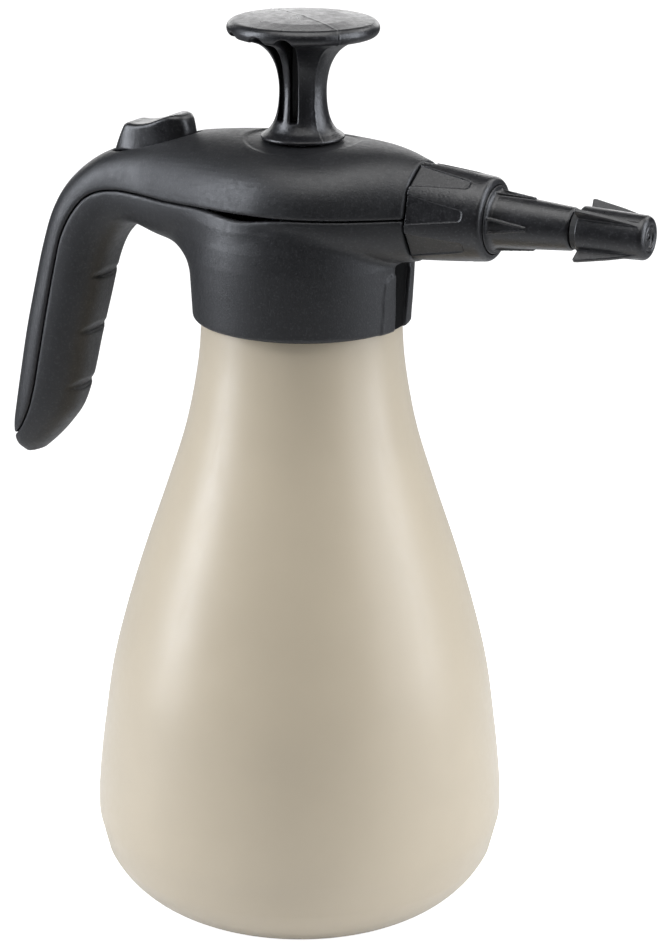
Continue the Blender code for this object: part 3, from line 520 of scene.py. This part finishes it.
def make_head():
    space = Space((-109, -38.5, 134), (44.5, 38.5, 255), 0.5)
    body = loft_field(space)
    skirt = [(0.0, 194.0), (32.4, 194.0), (33.0, 195.2)] + arc((32.6, 196.6), 1.6, -70, 0, 6)
    skirt += [(34.9, 208.0), (35.2, 216.0), (34.8, 222.0), (33.4, 228.0), (30.0, 232.0), (0.0, 233.0)]
    # The fillet under the head is wide at the back and tight at the sides and the front
    spread = 1.6 + 9.4 * ramp(-space.x, 18.0, 31.0) * (1 - ramp(space.z, 214.0, 226.0))
    spread = (spread + 3.4 * ramp(space.z, 217.0, 225.0) * ramp(-space.x, -5.0, 8.0)).astype(np.float32)
    skirt = turned_field(space, skirt)
    # A pad round the release slot, a little proud of the skirt
    pad = box_field(space, (20.0, -10.4, 180.0), (60.0, 10.4, 214.0), 4.0)
    skirt = soft_min(skirt, soft_max(skirt - 0.4, pad, 0.4), 0.3)
    body = soft_min(body, skirt, spread)
    body = finger_grooves(space, body)
    # A shallow dish in the top, round the knob
    radius = np.sqrt(space.x ** 2 + space.y ** 2)
    dish = np.where(space.z > 242.0, 0.6, 0.0) * (1 - ramp(radius, 17.2, 18.6))
    body = (body + dish).astype(np.float32)
    # The face behind the nut, and the flat cut at the skirt's foot
    body = soft_max(body, space.x - HEAD_FRONT, 0.8)
    body = np.where(space.x > -48, soft_max(body, HEAD_FOOT - space.z, 0.8), body)
    # Hollow above the deck, through the handle and inside the skirt
    inside = np.maximum(body + WALL, np.where(space.x > -45, DECK - space.z, -1e3))
    inside = np.minimum(inside, turned_field(space, SKIRT_BORE))
    nozzle_hole = turned_field(space, [(0, 30.0), (8.8, 30.0), (8.8, 50.0), (0, 50.0)], "x", (0.0, AXIS_HEIGHT))
    shell = cut_away(body, inside, 0.3)
    shell = cut_away(shell, nozzle_hole, 0.6)
    seam = seam_field(space)
    # The seam opens into a notch on the side seen in the photograph
    notch = 1.6 * np.exp(-((space.x + 5.0) / 10.5) ** 2) * ramp(-space.y, 5.0, 20.0)
    cover = soft_max(shell, seam + SEAM_GAP, 0.9)
    cover = cover_openings(space, cover)
    housing = soft_max(shell, -seam + SEAM_GAP + notch, 0.9)
    housing = np.minimum(housing, seam_tongue(space, body, seam, notch))
    housing = housing_openings(space, housing)
    skin_field("cover_shell", space, cover, CHARCOAL, "head", ["upper_cover"], 190_000)
    skin_field("housing_shell", space, housing, CHARCOAL, "head", ["lower_housing"], 195_000)


def slot_half_width(space):
    """The release slot narrows towards the skirt's foot."""
    return 3.5 + 1.7 * np.clip((space.z - HEAD_FOOT) / 21.0, 0, 1)


def make_painted_slot_shade():
    """A near-black sheet at the bottom of the release slot: painted shade, standing for the shadow deep in the
    slot.
    """
    space = Space((31.6, -6.2, 194.2), (34.4, 6.2, 218.4), 0.3)
    shade_sheet = np.maximum(np.abs(space.x - 33.0) - 0.45, np.abs(space.y) - slot_half_width(space) - 0.2)
    shade_sheet = soft_max(shade_sheet, np.abs(space.z - 206.3) - 10.9, 0.4)
    skin_field("painted_slot_shade", space, shade_sheet, PAINTED_SHADE, "head", [])


def cover_openings(space, cover):
    """The pump's hole and the trigger's slot."""
    window = turned_field(space, [(0, 240.0), (10.0, 240.0), (10.0, 258.0), (0, 258.0)])
    cover = cut_away(cover, window, 0.6)
    slot = np.maximum(trigger_plan(space) - 0.45, 232.5 - space.z)
    return cut_away(cover, slot, 0.6)


def housing_openings(space, housing):
    """The release slot at the front of the skirt, the relief valve's hole and the deck's holes."""
    half = slot_half_width(space)
    arch = np.maximum(np.abs(space.y) - half, 33.2 - space.x)
    arch = soft_max(arch, space.z - 217.4, 3.0)
    housing = cut_away(housing, arch, 0.5)
    relief = turned_field(space, [(0, 26.0), (3.2, 26.0), (3.2, 44.0), (0, 44.0)], "y", (0.0, RELIEF_HEIGHT))
    housing = cut_away(housing, relief, 0.5)
    centre = turned_field(space, [(0, 214.0), (14.4, 214.0), (14.4, 224.0), (0, 224.0)])
    housing = cut_away(housing, centre, 0.3)
    dip = turned_field(space, [(0, 214.0), (4.5, 214.0), (4.5, 224.0), (0, 224.0)], "z", (DIP_X, 0.0))
    return cut_away(housing, dip, 0.3)


# ---------------------------------------------------------------- pump


def make_knob():
    space = Space((-24.5, -24.5, 250.5), (24.5, 24.5, 291.5), 0.3)
    foot = [(4.8, 251.8), (12.1, 251.8)] + arc((12.4, 252.4), 0.6, -70, 70, 6) + [(12.3, 253.2)]
    stem = smooth_line([(12.3, 253.2), (10.4, 254.6), (8.6, 257.6), (7.6, 261.8), (7.3, 266.5), (7.6, 270.5),
                        (8.7, 274.8), (10.9, 278.6), (14.2, 281.3), (18.4, 282.9), (20.4, 283.5)], 4)[1:]
    rim = arc((21.0, 285.9), 2.4, -80, 80, 12)
    crown = [(19.0, 288.5), (14.0, 289.0), (0.0, 289.4), (0.0, 256.9), (4.8, 256.9)]
    outline = foot + pairs(stem) + rim + crown
    knob = turned_field(space, outline)
    # The mould's parting line: a soft ridge down the stem, and later a hair of flash over all of it
    turn = math.radians(-35.0)
    across = np.abs(-space.x * math.sin(turn) + space.y * math.cos(turn))
    knob = knob - 0.2 * np.exp(-across / 1.6) * (1 - ramp(space.z, 280.0, 283.0)) * ramp(space.z, 256.0, 259.0)
    # Three slots with arched tops fan out under the disc, and the first two run on down the stem
    slots = ((0.7, -7.5, -75.0, 257.6), (-4.5, -6.0, -90.0, 257.6), (-9.7, -4.3, -115.0, 277.5))
    for x, y, heading, low in slots:
        heading = math.radians(heading)
        outward = (space.x - x) * math.cos(heading) + (space.y - y) * math.sin(heading)
        aside = np.abs(-(space.x - x) * math.sin(heading) + (space.y - y) * math.cos(heading))
        half = 1.3 + 0.10 * np.clip(outward, 0, 16)
        arch = np.sqrt(aside ** 2 + np.maximum(space.z - (285.7 - half), 0) ** 2) - half
        slot = soft_max(arch, low - space.z, 0.8)
        slot = np.maximum(slot, -3.6 - outward)
        knob = cut_away(knob, slot, 0.5)
    knob = np.minimum(knob, np.maximum(knob - 0.12, across - 0.2))
    skin_field("knob", space, knob, BLACK, "pump_handle", ["pump_knob"], 150_000)


# ---------------------------------------------------------------- trigger


def trigger_plan(space):
    """Distance to the trigger's rounded outline as seen from above."""
    along = np.abs(space.x + 51.5) / 14.3
    aside = np.abs(space.y) / 7.8
    return 7.5 * ((along ** 2.5 + aside ** 2.5) ** (1 / 2.5) - 1)


def make_trigger():
    space = Space((-68.5, -9, 239.5), (-34.5, 9, 257), 0.22)
    edge = smooth_line([(-66.0, 241.0), (-64.4, 244.4), (-61.4, 250.2)], 5)[:-1]
    edge += smooth_line([(-60.9, 250.9), (-59.6, 251.4), (-57.0, 251.4), (-54.0, 251.7), (-50.6, 252.6),
                         (-47.0, 254.1), (-44.4, 255.0), (-42.0, 255.2), (-40.4, 254.8), (-39.2, 253.6),
                         (-38.5, 251.6), (-37.8, 248.0), (-37.4, 243.6)], 5)
    outline = pairs(edge) + [(-38.4, 242.0), (-50.0, 242.2), (-60.0, 242.4)]
    profile = outline_field(outline, space.x[:, :, 0], space.z[0])[:, None, :]
    # The sides lean in towards the top
    plan = trigger_plan(space) + 0.09 * (space.z - 243.0)
    trigger = soft_max(profile, plan, 1.6)
    pin = turned_field(space, [(0, -12.0), (1.35, -12.0), (1.35, 12.0), (0, 12.0)], "y", PIVOT)
    trigger = cut_away(trigger, pin, 0.3)
    skin_field("trigger", space, trigger, BLACK, "trigger", ["thumb_trigger"], 90_000)


def make_valve_spring():
    """The valve's coil, built at one length and riding on the head. On the real sprayer it shortens as the trigger
    presses the stem down.
    """
    x, foot, length, travel, radius, wire = -56.0, 233.8, 5.5, 3.5, 3.7, 0.25
    turns, per_turn, sides = 3.5, 28, 8
    steps = int(turns * per_turn)
    points, faces = [], []
    for i in range(steps + 1):
        angle = 2 * math.pi * i / per_turn
        # The first and the last half turn lie flat
        climb = min(max((i - per_turn / 2) / (steps - per_turn), 0.0), 1.0)
        height = foot + wire + (length - 2 * wire) * climb
        for k in range(sides):
            turn = 2 * math.pi * k / sides
            reach = radius + wire * math.cos(turn)
            points.append((x + reach * math.cos(angle), reach * math.sin(angle), height + wire * math.sin(turn)))
    for i in range(steps):
        for k in range(sides):
            a, b = i * sides + k, i * sides + (k + 1) % sides
            faces.append((a, a + sides, b + sides, b))
    faces.append(tuple(range(sides)))
    faces.append(tuple(reversed(range(steps * sides, (steps + 1) * sides))))
    coil = mesh_object("valve_coil", points, faces, STEEL, "head", ["valve_spring"])
    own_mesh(coil)


# ---------------------------------------------------------------- nozzle


def nozzle_frame(space, turn):
    """(sideways, outward) distances in a frame turned about the nozzle's line."""
    y, z = space.y, space.z - AXIS_HEIGHT
    return y * math.cos(turn) + z * math.sin(turn), -y * math.sin(turn) + z * math.cos(turn)


def make_nut():
    space = Space((41.5, -16.5, 217), (66.5, 16.5, 250), 0.2)
    rim = arc((10.9, 63.4), 2.0, 90, 12, 8)[::-1]
    outline = [(8.9, 42.0), (15.5, 42.0), (15.2, 45.0), (14.6, 50.0), (13.9, 56.0), (13.3, 60.0)]
    outline += rim + [(10.6, 65.6), (10.6, 58.4), (11.7, 58.4), (11.7, 53.4), (8.9, 53.4)]
    nut = turned_field(space, outline, "x", (0.0, AXIS_HEIGHT))
    # Eight flutes that narrow towards the front
    for i in range(8):
        sideways, outward = nozzle_frame(space, math.radians(77 + 45 * i))
        share = np.clip((space.x - 42.0) / 17.5, 0, 1)
        half = 4.5 - 2.9 * share
        floor = 14.5 - 1.45 * share
        tool = np.maximum(soft_max(np.abs(sideways) - half, space.x - 59.7, 1.4), floor - outward)
        nut = cut_away(nut, tool, 0.35)
    skin_field("nozzle_nut_ribbed", space, nut, BLACK, "nut", ["nozzle_nut"], 120_000)


def make_lance():
    space = Space((54, -12, 221.4), (102, 12, 245.4), 0.2)
    shoulder = arc((10.3, 67.9), 2.0, -90, -180, 8)
    outline = [(1.8, 54.8), (11.2, 54.8), (11.2, 57.9), (10.3, 57.9)] + shoulder
    outline += [(6.5, 90.5), (6.1, 91.2), (4.6, 91.2), (4.6, 101.0), (2.5, 101.0), (2.5, 97.0), (1.8, 97.0)]
    lance = turned_field(space, outline, "x", (0.0, AXIS_HEIGHT))
    # Four gussets in front of the shoulder
    for i in range(4):
        sideways, outward = nozzle_frame(space, i * math.pi / 2)
        share = np.clip((space.x - 65.0) / 13.2, 0, 1)
        half = 2.6 - 2.0 * share
        top = 9.1 - 1.0 * share
        gusset = np.maximum(np.maximum(np.abs(sideways) - half, outward - top), np.abs(space.x - 71.4) - 6.8)
        gusset = np.maximum(gusset, 4.0 - outward)
        # Each gusset's top is hollow between two thin edges
        hollow = np.maximum(np.maximum(np.abs(sideways) - half + 0.5, top - 0.7 - outward), 65.3 - space.x)
        gusset = cut_away(gusset, hollow, 0.25)
        lance = soft_min(lance, gusset, 0.35)
    skin_field("lance", space, lance, BLACK, "lance", ["lance_tube"], 120_000)


def make_tip():
    space = Space((92.5, -13, 220.4), (116, 13, 246.4), 0.17)
    rim = arc((4.7, 113.0), 2.0, 0, 90, 10)
    outline = [(5.0, 93.6), (7.1, 93.6), (7.35, 94.0), (7.3, 95.0), (6.7, 113.0)] + rim
    outline += [(4.3, 115.0), (4.15, 114.75), (3.8, 114.75), (3.65, 115.0), (2.9, 115.0), (2.5, 114.3),
                (1.5, 114.2), (1.2, 114.6), (0.8, 114.6), (0.7, 114.2), (0.7, 110.0), (2.9, 110.0),
                (2.9, 105.0), (5.0, 105.0)]
    tip = turned_field(space, outline, "x", (0.0, AXIS_HEIGHT))
    # Four fins, each with this side view
    side = [(94.4, 5.8), (93.6, 10.6), (94.0, 11.0), (95.0, 10.9), (104.0, 9.0), (112.6, 6.7), (112.0, 5.8)]
    for i in range(4):
        sideways, outward = nozzle_frame(space, math.pi / 4 + i * math.pi / 2)
        plate = outline_field(side, space.x, outward)
        fin = soft_max(plate, np.abs(sideways) - 0.65, 0.3)
        tip = soft_min(tip, fin, 0.5)
    skin_field("tip", space, tip, BLACK, "tip", ["nozzle_tip"], 150_000)


# ---------------------------------------------------------------- stage


def make_camera():
    """The photograph's view."""
    scene = bpy.context.scene
    scene.view_settings.view_transform = "Standard"
    camera = bpy.data.cameras.new("camera")
    camera.lens = VIEW_LENS
    camera.sensor_width = 36
    camera.clip_start = 0.05
    camera.clip_end = 50
    view = bpy.data.objects.new("camera", camera)
    scene.collection.objects.link(view)
    pitch = math.radians(VIEW_PITCH)
    ahead = (Vector(VIEW_AHEAD) * math.cos(pitch) + Vector((0, 0, -math.sin(pitch)))).normalized()
    right = ahead.cross(Vector((0, 0, 1))).normalized()
    up = right.cross(ahead)
    turn = Matrix((right, up, -ahead)).transposed() @ Matrix.Rotation(VIEW_ROLL, 3, "Z")
    view.matrix_world = Matrix.Translation(Vector(VIEW_FROM) * MM) @ turn.to_4x4()
    scene.camera = view


def floor_finish():
    """A pale floor, paler under the object than far from it. The camera sees it as white paper."""
    material = bpy.data.materials.new("pale_floor")
    material.use_nodes = True
    nodes, links = material.node_tree.nodes, material.node_tree.links
    shader = nodes["Principled BSDF"]
    shader.inputs["Roughness"].default_value = 0.9
    shader.inputs["Specular IOR Level"].default_value = 0.1
    place = nodes.new("ShaderNodeTexCoord")
    far = nodes.new("ShaderNodeVectorMath")
    far.operation = "LENGTH"
    fade = nodes.new("ShaderNodeMapRange")
    fade.inputs["From Min"].default_value = 0.15
    fade.inputs["From Max"].default_value = 0.45
    fade.inputs["To Min"].default_value = 0.80
    fade.inputs["To Max"].default_value = 0.25
    links.new(place.outputs["Object"], far.inputs[0])
    links.new(far.outputs["Value"], fade.inputs["Value"])
    links.new(fade.outputs["Result"], shader.inputs["Base Color"])
    paper = nodes.new("ShaderNodeEmission")
    paper.inputs["Strength"].default_value = 0.95
    glow = nodes.new("ShaderNodeAddShader")
    seen = nodes.new("ShaderNodeLightPath")
    pick = nodes.new("ShaderNodeMixShader")
    links.new(shader.outputs[0], glow.inputs[0])
    links.new(paper.outputs[0], glow.inputs[1])
    links.new(seen.outputs["Is Camera Ray"], pick.inputs["Fac"])
    links.new(shader.outputs[0], pick.inputs[1])
    links.new(glow.outputs[0], pick.inputs[2])
    links.new(pick.outputs[0], nodes["Material Output"].inputs["Surface"])
    return material


def make_floor():
    mesh = bpy.data.meshes.new("floor")
    reach, sides = 12.0, 96         # in metres
    ring = [(reach * math.cos(2 * math.pi * i / sides), reach * math.sin(2 * math.pi * i / sides), 0.0)
            for i in range(sides)]
    mesh.from_pydata([(0, 0, 0)] + ring, [], [(0, i + 1, (i + 1) % sides + 1) for i in range(sides)])
    floor = bpy.data.objects.new("floor", mesh)
    bpy.context.scene.collection.objects.link(floor)
    mesh.materials.append(floor_finish())


def make_world():
    """White behind everything for the camera, and nearly dark as a light."""
    world = bpy.data.worlds.new("studio")
    bpy.context.scene.world = world
    world.use_nodes = True
    nodes, links = world.node_tree.nodes, world.node_tree.links
    dark = nodes["Background"]
    dark.inputs["Color"].default_value = (1, 1, 1, 1)
    dark.inputs["Strength"].default_value = 0.02
    white = nodes.new("ShaderNodeBackground")
    white.inputs["Color"].default_value = (1, 1, 1, 1)
    white.inputs["Strength"].default_value = 1.0
    path = nodes.new("ShaderNodeLightPath")
    pick = nodes.new("ShaderNodeMixShader")
    links.new(path.outputs["Is Camera Ray"], pick.inputs["Fac"])
    links.new(dark.outputs[0], pick.inputs[1])
    links.new(white.outputs[0], pick.inputs[2])
    links.new(pick.outputs[0], nodes["World Output"].inputs["Surface"])


def softbox(name, azimuth, elevation, distance, width, height, power, colour=(1, 1, 1)):
    """A rectangular light that faces the object's middle, sized and placed in metres."""
    lamp = bpy.data.lights.new(name, "AREA")
    lamp.shape = "RECTANGLE"
    lamp.size = width
    lamp.size_y = height
    lamp.energy = power
    lamp.color = colour
    obj = bpy.data.objects.new(name, lamp)
    bpy.context.scene.collection.objects.link(obj)
    a, e = math.radians(azimuth), math.radians(elevation)
    away = Vector((math.sin(a) * math.cos(e), -math.cos(a) * math.cos(e), math.sin(e)))
    obj.location = Vector((0, 0, 0.16)) + away * distance
    obj.rotation_mode = "QUATERNION"
    obj.rotation_quaternion = (-away).to_track_quat("-Z", "Y")
    obj.visible_camera = False


def make_lights():
    cool = (0.93, 0.97, 1.05)
    softbox("left_box", VIEW_AZIMUTH - 85, 18, 1.2, 0.5, 1.2, 15.5, cool)
    softbox("right_box", VIEW_AZIMUTH + 85, 18, 1.2, 0.5, 1.2, 10.2, cool)
    softbox("right_edge_box", VIEW_AZIMUTH + 60, 18, 1.2, 0.4, 1.2, 3.6, cool)
    softbox("top_box", VIEW_AZIMUTH + 10, 80, 1.2, 1.1, 1.2, 12.0)
    softbox("high_right_box", VIEW_AZIMUTH + 125, 42, 1.3, 0.6, 0.6, 3.0)
    softbox("back_box", VIEW_AZIMUTH + 180, 12, 2.2, 2.4, 0.8, 15.0)


# ---------------------------------------------------------------- assembly


def main():
    dress_frame()
    make_camera()
    make_floor()
    make_world()
    make_lights()
    make_tank()
    make_tank_thread()
    make_head()
    # The sheet of painted shade in the release slot
    make_painted_slot_shade()
    make_knob()
    make_trigger()
    make_valve_spring()
    make_nut()
    make_lance()
    make_tip()


main()
